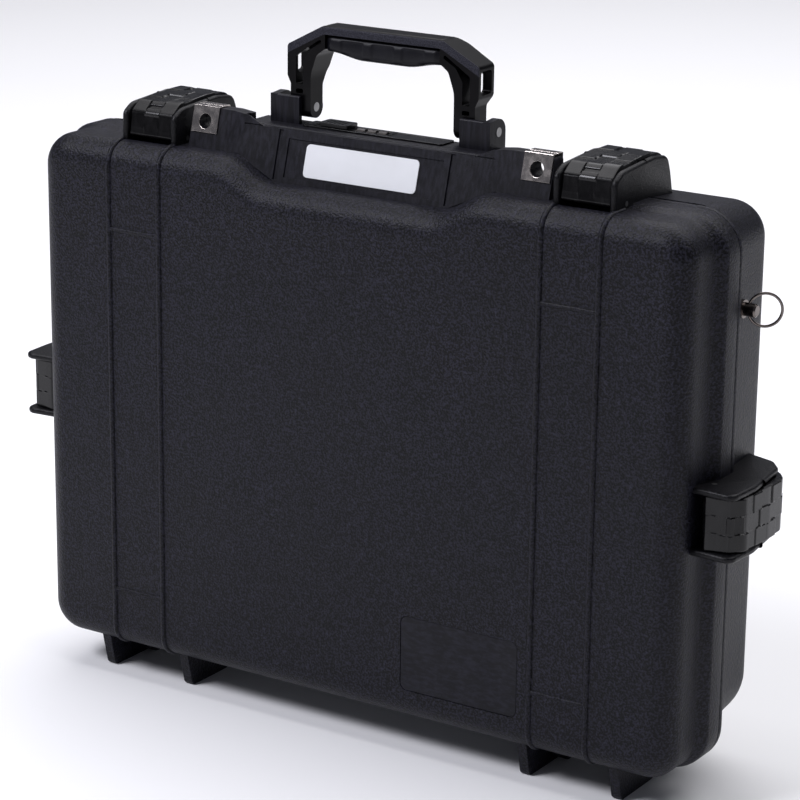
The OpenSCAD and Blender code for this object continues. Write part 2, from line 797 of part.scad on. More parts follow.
module latch_top_left() at_top(-1) lever();
module latch_top_right() at_top(1) lever();
module latch_side_left() at_side(-1) lever();
module latch_side_right() at_side(1) lever();

// ---- Handle ----

arm_r = 7.2;          // round of the arm's lower end about the pin

handle_fold = handle_top - 14.6;   // height of the corners between the chamfers and the arms
grip_half = handle_flat - 1;
grip_top = handle_top - rim_h;
core_low = handle_top - 15;

// Outside of the handle from the front, its arms drawn in below the windows
handle_outline = [[-arm_out + 2.5, pivot_z - arm_r - over, 0], [-arm_out + 2.5, handle_fold - 25, 3],
  [-arm_out, handle_fold - 20, 3], [-arm_out, handle_fold, 3], [-handle_flat, handle_top, 8],
  [handle_flat, handle_top, 8], [arm_out, handle_fold, 3], [arm_out, handle_fold - 20, 3],
  [arm_out - 2.5, handle_fold - 25, 3], [arm_out - 2.5, pivot_z - arm_r - over, 0]];

// The opening between the arms and under the bar's core
handle_opening = [[-arm_in, 0, 0], [-arm_in, handle_fold - 18, 20], [-arm_in + 4.5, handle_fold - 5, 6],
  [-grip_half, core_low, 2], [grip_half, core_low, 2], [arm_in - 4.5, handle_fold - 5, 6],
  [arm_in, handle_fold - 18, 20], [arm_in, 0, 0]];

// The box through the bar that the soft grip is moulded round
module grip_core() {
  translate([-grip_half - over, pivot_y - handle_fore + 3.4, core_low])
    cube([2 * (grip_half + over), handle_fore + handle_aft - 6.8, grip_top - core_low]);
}

module grip_room() {
  translate([-grip_half, pivot_y - 30, core_low - over]) cube([2 * grip_half, 60, grip_top - core_low + over]);
}

module handle_frame() {
  y0 = pivot_y - handle_fore;
  y1 = pivot_y + handle_aft;
  color(shell_col) difference() {
    intersection() {
      along_y(y0 - over, y1 + over) difference() {
        polygon(rounded(handle_outline));
        polygon(rounded(handle_opening));
      }
      union() {
        translate([-arm_out, pivot_y, pivot_z]) rotate([0, 90, 0]) cylinder(h = 2 * arm_out, r = arm_r);
        along_x(-arm_out, arm_out) polygon(rounded([[y0, pivot_z, 0], [y0, handle_top, 2.4],
          [y1, handle_top, 7], [y1, handle_fold - 14, 6], [pivot_y + arm_r - 0.4, handle_fold - 26, 6],
          [pivot_y + arm_r - 0.4, pivot_z, 0]]));
      }
      linear_extrude(handle_top + over) polygon([[-arm_out, y0], [arm_out, y0], [arm_out, y1 - 2.5],
        [handle_flat + 4, y1], [-handle_flat - 4, y1], [-arm_out, y1 - 2.5]]);
    }
    on_both_sides() {
      along_y(y0 - over, y1 + over) polygon(rounded([[arm_in + 6, handle_fold - 25, 1],
        [arm_in + 11.4, handle_fold - 25, 1], [arm_in + 11.4, handle_fold - 6.6, 1], [arm_in + 6, handle_fold - 4, 1]]));
      along_y(y0 - over, y0 + 9) polygon(rounded([[arm_in + 6, pivot_z + 9, 1], [arm_in + 11.4, pivot_z + 9, 1],
        [arm_in + 11.4, handle_fold - 28, 1], [arm_in + 6, handle_fold - 28, 1]]));
      along_y(y0 - over, y0 + 9) polygon(rounded([[arm_in + 7, handle_fold - 12, 1],
        [arm_in + 11.4, handle_fold - 6.6, 1], [handle_flat + 2, grip_top - 3, 1],
        [handle_flat + 2, core_low + 3.4, 1], [arm_in + 1, handle_fold - 2, 3]]));
      along_x(arm_in + 9, arm_out + over) polygon(rounded([[y0 + 2.6, handle_fold - 18, 2.4],
        [y0 + 15.4, handle_fold - 18, 2.4], [y0 + 15.4, handle_fold - 3, 2.4], [y0 + 2.6, handle_fold - 3, 2.4]]));
      translate([arm_in - over, pivot_y, pivot_z]) rotate([0, 90, 0])
        cylinder(h = 30, d = handle_pin_d + 2 * pin_gap);
    }
    difference() {
      grip_room();
      grip_core();
    }
  }
}

// The soft grip round the bar's core: its underside bulges in the middle
module handle_grip() {
  y0 = pivot_y - handle_fore + 0.3;
  y1 = pivot_y + handle_aft - 0.3;
  low = grip_top - grip_h;
  half = grip_half - 0.1;
  color(grip_col) difference() {
    intersection() {
      along_y(y0, y1) polygon(rounded([[-half, grip_top, 0], [-half, low + grip_rise + 1, 3],
        [-0.5 * half, low, 60], [0.5 * half, low, 60], [half, low + grip_rise + 1, 3], [half, grip_top, 0]]));
      along_x(-half, half) polygon(rounded([[y0, grip_top, 0], [y0, low, 8], [y1, low, 8], [y1, grip_top, 0]]));
    }
    grip_core();
    for (x = [-23, 0, 23], side = [0, 1]) translate([x - 8, side == 0 ? y0 - over : y1 - 0.7, low + 4.4])
      cube([16, over + 0.7, grip_h - 7.4]);
  }
}

// ---- Lock ----

module lock_housing() {
  slot = dial_w + 2 * gap;
  chord = sqrt(pow(dial_d / 2, 2) - pow(dial_sink - lock_t, 2)) + gap;
  color(gloss_col) difference() {
    along_z_plate(lock_left, lock_right, lock_y - lock_half, lock_y + lock_half, 2, deck_top, lock_z);
    for (i = [-1, 0, 1]) translate([dial_x + i * dial_step - slot / 2, lock_y - chord, deck_top - over])
      cube([slot, 2 * chord, 10]);
    translate([lock_left + 6, lock_y - 1.5 - gap, deck_top - over]) cube([button_w + 4, 3 + 2 * gap, 10]);
    translate([8, lock_y - 6, lock_z - 0.5]) cube([lock_right - 12, 12, 10]);
  }
}

module along_z_plate(x0, x1, y0, y1, r, z0, z1) {
  translate([0, 0, z0]) linear_extrude(z1 - z0) rounded_box(x0, x1, y0, y1, r);
}

module lock_dial(i) {
  teeth = 10;
  color(brass_col) translate([dial_x + (i - 1) * dial_step - dial_w / 2, lock_y, dial_z]) rotate([0, 90, 0])
    difference() {
      cylinder(h = dial_w, d = dial_d);
      translate([0, 0, -over]) cylinder(h = dial_w + 2 * over, d = axle_d + 2 * pin_gap);
      for (k = [0 : teeth - 1]) rotate(k * 360 / teeth + 18) translate([dial_d / 2 + 0.5, 0, -over])
        cylinder(h = dial_w + 2 * over, r = 1);
    }
}

module lock_dial_1() lock_dial(0);
module lock_dial_2() lock_dial(1);
module lock_dial_3() lock_dial(2);

module lock_axle() {
  far = dial_step + dial_w / 2 + 1;
  color(steel_col) translate([dial_x - far, lock_y, dial_z]) rotate([0, 90, 0]) cylinder(h = 2 * far, d = axle_d);
}

// The button that opens the lock, with its stem and the bolt under the plate
module lock_slider() {
  x0 = lock_left + 6 + button_travel;
  color(gloss_col) {
    difference() {
      along_z_plate(x0, x0 + button_w, lock_y - 6.5, lock_y + 6.5, 1.5, lock_z + gap, lock_z + 2.8);
      for (i = [0 : 4]) translate([x0 + 4 + 3 * i, lock_y - 5, lock_z + 2.2]) cube([1.2, 10, 2]);
    }
    translate([x0 + 2, lock_y - 1.5, deck_top - 1.5]) cube([button_w - 4 - button_travel, 3, 4]);
    translate([x0 - 1, lock_y - 2.6, deck_top - 4.5]) cube([button_w - button_travel, 5.2, 4.2]);
  }
}

// ---- Steel plates at the padlock holes ----

// Folded over the lid's tab
module padlock_plate_lid() {
  drop = tab_top - plate_drop;
  function lean_y(z) = panel_y + (z - panel_foot) * tan(lean);
  p = plate_t;
  color(steel_col) difference() {
    along_x(hole_x - plate_w / 2, hole_x + plate_w / 2) polygon([[lean_y(drop), drop], [lean_y(drop) - p, drop],
      [lean_y(tab_top) - p, tab_top + p], [tab_y - gap, tab_top + p], [tab_y - gap, tab_top],
      [lean_y(tab_top), tab_top]]);
    padlock_bores();
  }
}

// Folded over the base's tab behind it
module padlock_plate_base() {
  drop = tab_top - plate_drop;
  p = plate_t;
  y1 = tab_y + tab_t;
  color(steel_col) difference() {
    along_x(hole_x - plate_w / 2, hole_x + plate_w / 2) polygon([[y1, drop], [y1 + p, drop],
      [y1 + p, tab_top + p], [tab_y, tab_top + p], [tab_y, tab_top], [y1, tab_top]]);
    padlock_bores();
  }
}

module padlock_plate_lid_left() mirror([1, 0, 0]) padlock_plate_lid();
module padlock_plate_lid_right() padlock_plate_lid();
module padlock_plate_base_left() mirror([1, 0, 0]) padlock_plate_base();
module padlock_plate_base_right() padlock_plate_base();

// ---- Bare plates ----

module name_plate() {
  color(gloss_col) along_y(front + 0.2, front + 1)
    rounded_box(sign_x - sign_w / 2 + 0.3, sign_x + sign_w / 2 - 0.3, sign_z - sign_h / 2 + 0.3,
      sign_z + sign_h / 2 - 0.3, 4.7);
}

label_w = 85;
label_h = 21.4;

module label_plate() {
  color(plate_col) on_lean() translate([-1.5, 0, recess_low + 2 + label_h / 2]) along_y(0.2, 0.8)
    rounded_box(-label_w / 2, label_w / 2, -label_h / 2, label_h / 2, 3);
}

// ---- Strap fittings ----

// A turned stud riveted through the base's wall, bored across for its ring
module strap_stud() {
  neck = 4.2;
  inner = in_half - base_slope * (stud_back + over) - 0.8;
  outer = stud_wall + 0.8;
  tip = stud_wall + stud_len;
  color(steel_col) translate([0, stud_y, stud_z]) difference() {
    rotate([0, 90, 0]) rotate_extrude() polygon([[0, inner - 1.4], [stud_r, inner - 1.4],
      [stud_r, inner], [stud_r / 2, inner], [stud_r / 2, outer], [stud_r, outer],
      [stud_r, stud_wall + foot_len], [neck, stud_wall + foot_len], [neck, tip - 1], [neck - 1, tip], [0, tip]]);
    translate([ring_x, 0, -10]) cylinder(h = 20, r = ring_bore);
  }
}

module strap_ring() {
  color(steel_col) translate([ring_x, stud_y, stud_z]) rotate([0, 0, ring_turn]) translate([ring_line, 0, 0])
    rotate([90, 0, 0]) rotate_extrude() translate([ring_line, 0]) circle(d = wire_d, $fn = 32);
}

module strap_stud_left() mirror([1, 0, 0]) strap_stud();
module strap_stud_right() strap_stud();
module strap_ring_left() mirror([1, 0, 0]) strap_ring();
module strap_ring_right() strap_ring();

base_shell();
base_deck();
base_ears();
base_feet();
lid_shell();
lid_panel();
lid_ears();
lid_feet();
lid_seal();
hinge_pins();
latch_top_left();
latch_top_right();
latch_side_left();
latch_side_right();
latch_pins();
strike_pins();
handle_frame();
handle_grip();
handle_pins();
padlock_plate_lid_left();
padlock_plate_lid_right();
padlock_plate_base_left();
padlock_plate_base_right();
lock_housing();
lock_dial_1();
lock_dial_2();
lock_dial_3();
lock_axle();
lock_slider();
name_plate();
label_plate();
strap_stud_left();
strap_stud_right();
strap_ring_left();
strap_ring_right();
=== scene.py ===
# %% [markdown]
# # A laptop hard case
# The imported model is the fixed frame: every node is already in its place, in metres, with Z up. This lesson
# dresses it: each visible surface is worked out anew, with the soft edges that a moulding has, and every
# piece gets a finish made of nodes.

# %% Load the frame
import bmesh
import bpy
import json
import math
import numpy as np
from mathutils import Matrix, Vector

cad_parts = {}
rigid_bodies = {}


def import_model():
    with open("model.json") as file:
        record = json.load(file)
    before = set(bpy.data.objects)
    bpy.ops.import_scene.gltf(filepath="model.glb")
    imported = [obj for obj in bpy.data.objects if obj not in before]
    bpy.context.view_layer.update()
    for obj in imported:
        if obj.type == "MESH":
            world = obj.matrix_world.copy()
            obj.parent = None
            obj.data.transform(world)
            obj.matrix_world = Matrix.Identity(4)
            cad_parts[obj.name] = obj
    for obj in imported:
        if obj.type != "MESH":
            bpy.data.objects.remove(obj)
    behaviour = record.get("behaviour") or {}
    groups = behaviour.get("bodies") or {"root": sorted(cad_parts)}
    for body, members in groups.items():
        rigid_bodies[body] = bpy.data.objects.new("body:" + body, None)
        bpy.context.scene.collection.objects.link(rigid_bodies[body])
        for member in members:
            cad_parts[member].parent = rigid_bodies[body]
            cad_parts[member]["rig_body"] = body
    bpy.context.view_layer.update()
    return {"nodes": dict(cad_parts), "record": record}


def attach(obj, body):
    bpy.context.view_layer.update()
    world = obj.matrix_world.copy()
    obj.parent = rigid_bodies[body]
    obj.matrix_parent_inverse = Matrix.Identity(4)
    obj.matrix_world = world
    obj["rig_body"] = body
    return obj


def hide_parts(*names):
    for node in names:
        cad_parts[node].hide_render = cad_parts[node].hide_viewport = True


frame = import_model()
nodes = frame["nodes"]
MM = 0.001

# %% [markdown]
# ## The camera
# The photograph is a long-lens view from the right and a little above, so parallel edges hardly converge. The
# camera looks down 16.8 degrees, from 32.7 degrees to the right of the lid's normal, rolled by under a
# degree.

# %% Camera
AZIMUTH, ELEVATION, ROLL = (math.radians(a) for a in (32.72, 16.83, 0.68))
TARGET = Vector((0.00264, 0.0061, 0.2153))
DISTANCE = 1.9294
LENS_MM, SENSOR_MM = 132.2, 36.0


def look_matrix(target, azimuth, elevation, roll, distance):
    """Camera matrix: its columns are right, up and back, turned by azimuth, then elevation, then roll."""
    back = Vector((math.sin(azimuth) * math.cos(elevation), -math.cos(azimuth) * math.cos(elevation),
                   math.sin(elevation)))
    right = Vector((math.cos(azimuth), math.sin(azimuth), 0))
    up = back.cross(right)
    c, s = math.cos(roll), math.sin(roll)
    columns = (right * c + up * s, up * c - right * s, back)
    turn = Matrix([[col[i] for col in columns] for i in range(3)]).to_4x4()
    return Matrix.Translation(target + back * distance) @ turn


camera = bpy.data.objects.new("camera", bpy.data.cameras.new("camera"))
bpy.context.scene.collection.objects.link(camera)
camera.matrix_world = look_matrix(TARGET, AZIMUTH, ELEVATION, ROLL, DISTANCE)
camera.data.lens = LENS_MM
camera.data.sensor_width = SENSOR_MM
camera.data.clip_start, camera.data.clip_end = 0.1, 60
bpy.context.scene.camera = camera

# %% [markdown]
# ## Node expressions
# A finish is easier to read as arithmetic than as a web of links. `Value` wraps a socket, so that
# `patch * 0.06 + 0.4` adds the Math nodes by itself. `Finish` holds one material and adds any other node.


# %% Value and Finish
class Value:
    """A number on a node tree. Arithmetic on it adds Math nodes."""

    def __init__(self, finish, socket):
        self.finish, self.socket = finish, socket

    def math(self, operation, other=0.0):
        return self.finish.add("ShaderNodeMath", {"operation": operation}, {0: self, 1: other})

    def __add__(self, other): return self.math("ADD", other)
    def __sub__(self, other): return self.math("SUBTRACT", other)
    def __mul__(self, other): return self.math("MULTIPLY", other)

    def ramp(self, low, high, out_low=0.0, out_high=1.0):
        """Smooth step from low to high, giving out_low to out_high."""
        return self.finish.add("ShaderNodeMapRange", {"interpolation_type": "SMOOTHSTEP"},
                               {0: self, 1: low, 2: high, 3: out_low, 4: out_high})


class Finish:
    """One material: add() puts in a node, says() sets the shader's sockets."""

    def __init__(self, name):
        self.material = bpy.data.materials.new(name)
        self.material.use_nodes = True
        self.tree = self.material.node_tree
        self.shader = self.tree.nodes["Principled BSDF"]

    def plug(self, value, socket):
        """Links a Value to the socket, or sets a plain number or colour on it."""
        if isinstance(value, Value):
            self.tree.links.new(value.socket, socket)
        elif isinstance(value, (tuple, list)) and socket.type == "RGBA":
            socket.default_value = tuple(value) + (1.0,) * (4 - len(value))
        else:
            socket.default_value = value

    def add(self, kind, settings=None, inputs=None, output=0):
        """A new node of that kind with its settings and inputs, given as one of its outputs."""
        node = self.tree.nodes.new(kind)
        for key, value in (settings or {}).items():
            setattr(node, key, value)
        for key, value in (inputs or {}).items():
            self.plug(value, node.inputs[key])
        return Value(self, node.outputs[output])

    def place(self, stretch=(1, 1, 1)):
        """The object's own coordinates, in metres, stretched along each axis."""
        here = self.add("ShaderNodeTexCoord", output="Object")
        return self.add("ShaderNodeVectorMath", {"operation": "MULTIPLY"}, {0: here, 1: stretch})

    def noise(self, size, detail, rough, stretch=(1, 1, 1)):
        """Noise whose blobs are about size metres across."""
        return self.add("ShaderNodeTexNoise", None, {"Vector": self.place(stretch), "Scale": 1 / size,
                                                     "Detail": detail, "Roughness": rough})

    def mix(self, mask, low, high):
        """Colour low where mask is 0 and high where it is 1."""
        return self.add("ShaderNodeMix", {"data_type": "RGBA"}, {0: mask, 6: low, 7: high}, output=2)

    def bump(self, height, distance):
        """The surface's normal as if height stood out by that many metres."""
        return self.add("ShaderNodeBump", None, {"Height": height, "Distance": distance, "Strength": 1.0})

    def says(self, **sockets):
        """Sets or links the shader's sockets, named with _ for a space, and gives the material."""
        for key, value in sockets.items():
            self.plug(value, self.shader.inputs[key.replace("_", " ")])
        return self.material


# %% [markdown]
# ## Finishes
# The shells are injection moulded with a pebbled grain a little over a millimetre across, near black with a
# touch of blue. Each pebble's crown is painted paler, a painted highlight, and each valley darker, a painted
# shade, so one noise drives both the colour and a Bump node, while broad soft noise varies the sheen the way
# handling does. All lengths in a finish are in metres.


# %% Moulded plastic
def scaled(colour, factor, lift=0.0):
    """The colour times factor, plus lift in each channel."""
    return tuple(c * factor + lift for c in colour)


def moulded(name, colour, rough, pebble=0.0014, depth=0.00055, specular=0.19):
    """Near-black plastic: pebbled bump, crowns painted paler as a painted highlight and valleys darker as
    painted shade, and a sheen that varies over a hand's width.
    """
    f = Finish(name)
    grain = f.noise(pebble, 2.0, 0.55)
    fleck = f.noise(pebble * 2.3, 2.0, 0.5).ramp(0.56, 0.70)
    patch = f.noise(0.09, 4.0, 0.55).ramp(0.3, 0.7)
    crown = grain.ramp(0.44, 0.60)
    # The crowns' paler colour and the valleys' darker one are painted highlight and painted shade on the
    # grain; fleck adds paler specks.
    painted_crown_light_and_fleck = crown * (patch * 0.15 + 0.55) + fleck * 0.3
    return f.says(Specular_IOR_Level=specular,
                  Base_Color=f.mix(painted_crown_light_and_fleck, scaled(colour, 0.2), scaled(colour, 3.2, 0.006)),
                  Roughness=patch * 0.06 + crown * 0.08 + (rough - 0.07),
                  Normal=f.bump(grain, depth))


SHELL = moulded("moulded shell", (0.0047, 0.0046, 0.0088), 0.46)
EARS = moulded("fine grained plastic", (0.0024, 0.0023, 0.0034), 0.40, 0.0009, 0.00022, 0.20)
HANDLE_FLAT, HANDLE_FALL = 0.044, 0.518


def handle_plastic():
    """Dark smooth plastic, pebbled and paler on the band along the handle's front, where each pebble's crown
    is painted paler than its valley as a painted highlight. There y is on the front face and z is over the
    band's low edge, which falls by HANDLE_FALL times the distance out from |x| = HANDLE_FLAT."""
    f = Finish("handle plastic")
    x, y, z = [f.add("ShaderNodeSeparateXYZ", None, {0: f.place()}, output=i) for i in range(3)]
    out = (x.math("ABSOLUTE") - HANDLE_FLAT).math("MAXIMUM")
    band = (z + out * HANDLE_FALL).ramp(0.4551, 0.4555) * y.ramp(-0.0157, -0.0151, 1.0, 0.0)
    grain = f.noise(0.0006, 2.0, 0.5)
    patch = f.noise(0.03, 3.0, 0.55).ramp(0.3, 0.7)
    crown = grain.ramp(0.40, 0.62)
    plain = f.mix(patch, (0.0012, 0.0011, 0.0014), (0.0030, 0.0026, 0.0032))
    # In the band each pebble's crown is painted paler than its valley: a painted highlight on the grain.
    pebbled_band_painted_crowns = f.mix(crown, (0.012, 0.012, 0.017), (0.040, 0.040, 0.052))
    return f.says(Specular_IOR_Level=0.10, Base_Color=f.mix(band, plain, pebbled_band_painted_crowns),
                  Roughness=band * 0.16 + patch * 0.05 + 0.30, Normal=f.bump(grain * band, 0.00022))


HANDLE = handle_plastic()


# %% Smoother mouldings
def satin(name, colour, rough, streak, depth, specular):
    """Glossier plastic with faint streaks along one axis and a very fine grain."""
    f = Finish(name)
    fine = f.noise(0.0007, 2.0, 0.5)
    lines = f.noise(0.0022, 3.0, 0.6, streak)
    patch = f.noise(0.03, 3.0, 0.5).ramp(0.3, 0.7)
    return f.says(Specular_IOR_Level=specular,
                  Base_Color=f.mix(lines.ramp(0.35, 0.7), scaled(colour, 0.6), scaled(colour, 1.8, 0.002)),
                  Roughness=patch * 0.13 + lines * 0.08 + (rough - 0.05),
                  Normal=f.bump(fine * 0.4 + lines * 0.6, depth))


LATCH = satin("latch plastic", (0.0012, 0.0010, 0.0013), 0.19, (1, 1, 0.3), 0.000008, 0.30)
PANEL = satin("streaked panel", (0.0056, 0.0054, 0.0086), 0.40, (1, 1, 0.09), 0.00016, 0.20)
PLATE = satin("name plate film", (0.0046, 0.0046, 0.0085), 0.36, (0.4, 1, 1), 0.00001, 0.20)


def soft_rubber(name, colour, rough, specular=0.4):
    """Dull rubber: fine grain and a patchy bloom."""
    f = Finish(name)
    grain = f.noise(0.0006, 3.0, 0.6)
    bloom = f.noise(0.012, 4.0, 0.6).ramp(0.4, 0.8)
    return f.says(Specular_IOR_Level=specular,
                  Base_Color=f.mix(bloom * 0.5, colour, scaled(colour, 1.8, 0.003)),
                  Roughness=bloom * 0.1 + (rough - 0.05), Normal=f.bump(grain, 0.00008))


RUBBER = soft_rubber("seal rubber", (0.010, 0.010, 0.011), 0.60)
GRIP = soft_rubber("grip rubber", (0.0036, 0.0036, 0.0058), 0.44, 0.18)


# %% Metals and label
def metal(name, colour, rough, stretch, dim=0.72, depth=0.00002):
    """Bare metal: grain drawn out along one axis, with the roughness following it."""
    f = Finish(name)
    lines = f.noise(0.0012, 3.0, 0.6, stretch)
    smear = f.noise(0.012, 2.0, 0.5).ramp(0.35, 0.75)
    return f.says(Base_Color=f.mix(smear * 0.6, colour, scaled(colour, dim)), Metallic=1.0,
                  Roughness=lines.ramp(0.3, 0.7, rough - 0.05, rough + 0.09), Normal=f.bump(lines, depth))


STEEL = metal("steel pin", (0.30, 0.30, 0.30), 0.34, (0.1, 1, 1))
BRIGHT = metal("bright plate", (0.50, 0.46, 0.43), 0.22, (0.15, 0.15, 0.15), 0.8, 0.000003)
WHEEL = metal("number wheel", (0.075, 0.07, 0.068), 0.38, (0.1, 1, 1))
DARK_CHROME = metal("dark chrome", (0.16, 0.14, 0.13), 0.15, (1, 1, 1))


def label_stock():
    """White film label: faint fibres and cloudy patches of a slightly darker, greyer tone."""
    f = Finish("label")
    fibre = f.noise(0.0009, 3.0, 0.6)
    cloud = f.noise(0.02, 2.0, 0.5).ramp(0.3, 0.8)
    return f.says(Base_Color=f.mix(cloud * 0.6, (0.74, 0.75, 0.77), (0.68, 0.69, 0.70)),
                  Roughness=fibre.ramp(0.3, 0.7, 0.38, 0.5), Normal=f.bump(fibre, 0.00001))


LABEL = label_stock()

FINISH_OF_SLOT = {"shell": SHELL, "latch": LATCH, "seal": RUBBER, "grip": GRIP, "steel": STEEL,
                  "bright_steel": BRIGHT, "dial": WHEEL, "label": LABEL, "dark_chrome": DARK_CHROME}
FINISH_OF_NODE = {"lid_panel": PANEL, "base_deck": PANEL, "handle_frame": HANDLE, "name_plate": PLATE,
                  "lid_ears": EARS, "base_ears": EARS}
slot_of = {s["node"]: s["material_slot"] for s in frame["record"]["subparts"]}
body_of = {name: node["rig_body"] for name, node in nodes.items()}


def finish_of(name):
    return FINISH_OF_NODE.get(name) or FINISH_OF_SLOT[slot_of[name]]


# %% [markdown]
# ## Surfaces from arrays
# The shells, beads, ears, levers, grip and split rings are smooth forms, so each is worked out as grids in
# millimetres: rows run along the piece, columns run round it, and numpy computes every point at once. Each
# grid gets a flat cap on its first and last row, so that no surface is left open.


# %% Grid to mesh
def grid_quads(rows, columns):
    """Corner numbers of the four-sided faces of a grid whose last column meets its first."""
    r, c = np.arange(rows - 1)[:, None], np.arange(columns)[None, :]
    here, beside = r * columns + c, r * columns + (c + 1) % columns
    return np.stack([here, beside, beside + columns, here + columns], -1).reshape(-1, 4)


def closed_mesh(name, grids_mm):
    """One mesh from closed grids, each rows x columns x 3 in millimetres, capped at both ends."""
    points, faces, start = [], [], 0
    for grid in grids_mm:
        rows, columns = grid.shape[:2]
        last = start + (rows - 1) * columns
        faces += (grid_quads(rows, columns) + start).tolist()
        faces += [list(range(start, start + columns)), list(range(last, last + columns))]
        points.append(grid.reshape(-1, 3) * MM)
        start += rows * columns
    mesh = bpy.data.meshes.new(name)
    mesh.from_pydata(np.concatenate(points).tolist(), [], faces)
    point_outwards(mesh)
    return mesh


def point_outwards(mesh):
    """Turns every face so that its normal points out of the solid."""
    bm = bmesh.new()
    bm.from_mesh(mesh)
    bmesh.ops.recalc_face_normals(bm, faces=bm.faces)
    bm.to_mesh(mesh)
    bm.free()


def shade(mesh, crease):
    """Smooth shading, with edges sharper than crease degrees left crisp."""
    mesh.polygons.foreach_set("use_smooth", np.ones(len(mesh.polygons), bool))
    mesh.set_sharp_from_angle(angle=math.radians(crease))


def dress(obj, material):
    """Gives a piece its one finish."""
    obj.data.materials.clear()
    obj.data.materials.append(material)
    return obj


def new_piece(name, grids_mm, like, stands_for=(), cuts=(), crease=36):
    """A piece made of closed grids, less the closed grids in cuts. It is finished and carried as the CAD node
    like is."""
    obj = bpy.data.objects.new(name, closed_mesh(name, grids_mm))
    bpy.context.scene.collection.objects.link(obj)
    if cuts:
        tool = bpy.data.objects.new("tool", closed_mesh("tool", cuts))
        bpy.context.scene.collection.objects.link(tool)
        cut = obj.modifiers.new("cut", "BOOLEAN")
        cut.operation, cut.solver, cut.object = "DIFFERENCE", "EXACT", tool
        settle(obj)
        bpy.data.objects.remove(tool)
    shade(obj.data, crease)
    dress(obj, finish_of(like))
    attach(obj, body_of[like])
    if stands_for:
        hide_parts(*stands_for)
    print(name, len(obj.data.vertices), "points")
    return obj


def settle(obj):
    """Puts the result of the modifiers into the mesh."""
    view = bpy.context.evaluated_depsgraph_get()
    mesh = bpy.data.meshes.new_from_object(obj.evaluated_get(view))
    obj.modifiers.clear()
    obj.data = mesh


def ease(t):
    """0 below 0, 1 above 1, and 3 t^2 - 2 t^3 between."""
    t = np.clip(t, 0, 1)
    return t * t * (3 - 2 * t)


# %% [markdown]
# ## The two shells
# Each shell is a tub. Seen from the front it is a rounded rectangle, and on the way from its far face to the
# seam that outline grows, steps and rounds off. So a shell is a stack of outlines, one for each depth Y. The
# rows start on the far face, come round the fillet and along the wall to the seam, turn in over the rim and
# run down the cavity to its floor.

# %% Outline of a shell
SEAM, FRONT, BACK = -6.5, -60.5, 60.5
FLANGE_HALF, FLANGE_TOP = 251.0, 377.7
TOP_X = np.concatenate([np.linspace(0.97, 0.5, 6), np.linspace(0.48, -0.48, 61), np.linspace(-0.5, -0.97, 6)])
ARC, SIDE = np.linspace(0, 90, 13), np.linspace(-0.95, 0.95, 9)


def outline_part(side, level, angle):
    """One stretch of the outline as columns (side, level, angle), any of which may be a single number."""
    return np.stack(np.broadcast_arrays(*np.atleast_1d(side, level, angle)), -1).astype(float)


OUTLINE = np.concatenate([
    outline_part(1, SIDE, 0), outline_part(1, 1, ARC),
    outline_part(TOP_X, 1, 90), outline_part(-1, 1, 90 + ARC),
    outline_part(-1, -SIDE, 180), outline_part(-1, -1, 180 + ARC),
    outline_part(SIDE, -1, 270), outline_part(1, -1, 270 + ARC)])
HOLLOW, HOLLOW_HALF, HOLLOW_RAMP = 14, 100, 38


def shell_rows(table):
    """Stacks rounded rectangles. A row is (y, half, low, top, r_low, r_top, dip): half wide to each side,
    from low to top, with corner radii r. A point is its corner's centre plus r times (cos angle, sin angle).
    The top side sinks by HOLLOW times dip in the middle, with ramps HOLLOW_RAMP long inside HOLLOW_HALF."""
    y, half, low, top, r_low, r_top, dip = [column[:, None] for column in np.array(table, float).T]
    side, level, angle = OUTLINE[:, 0], OUTLINE[:, 1], np.radians(OUTLINE[:, 2])
    r = np.where(level > 0, r_top, r_low)
    x = side * (half - r) + r * np.cos(angle)
    z = low + r_low + (top - r_top - low - r_low) * (level + 1) / 2 + r * np.sin(angle)
    hollow = HOLLOW * dip * ease((HOLLOW_HALF - np.abs(x)) / HOLLOW_RAMP)
    z = z - np.where((level == 1) & (OUTLINE[:, 2] == 90), hollow, 0)
    return np.stack([x, y + 0 * x, z], -1)


def shrink(row, y, by):
    """The row at depth y with its outline drawn in by that much."""
    _, half, low, top, r_low, r_top, dip = row
    return (y, half - by, low + by, top - by, max(r_low - by, 0.6), max(r_top - by, 0.6), dip)


def fillet_rows(row, face, r, inwards, slope=0.0, steps=11):
    """Rows from a face round its edge. At angle t they lie r (1 - cos t) deep and are drawn in by
    r (1 - sin t), less slope times the depth."""
    t = np.radians(np.linspace(0, 90, steps))
    depth, inset = r * (1 - np.cos(t)), r * (1 - np.sin(t))
    return [shrink(row, face + inwards * d, i - slope * d) for d, i in zip(depth, inset)]


# %% [markdown]
# The lid's wall swells into its flange in one soft curve before the seam. Its rim holds the groove for the
# seal. The room for each latch's barrel and the shallow seat of the bare plate are cut out of the closed
# surface, as a mould's inserts would leave them.


# %% Lid shell
def flange_curve(e):
    """Wall where e is 0, flange where it is 1."""
    return (244.5 + 6.5 * e, 22.2 - 2.2 * e, 375.5 + 2.2 * e, 22 + 5 * e, 22 + 5 * e, 0)


def rounded_slab(x0, x1, z0, z1, r, y0, y1):
    """A slab with rounded corners, as a grid of two rows."""
    angle = np.radians(np.concatenate([ARC, 90 + ARC, 180 + ARC, 270 + ARC]))
    quarter = np.arange(len(angle)) // len(ARC)
    x = np.where((quarter == 0) | (quarter == 3), x1 - r, x0 + r) + r * np.cos(angle)
    z = np.where(quarter < 2, z1 - r, z0 + r) + r * np.sin(angle)
    return np.stack([np.stack([x, 0 * x + y, z], -1) for y in (y0, y1)])


def block(low, high):
    """A box as a grid of two rows."""
    (x0, y0, z0), (x1, y1, z1) = low, high
    return np.array([[(x0, y, z0), (x1, y, z0), (x1, y, z1), (x0, y, z1)] for y in (y0, y1)], float)


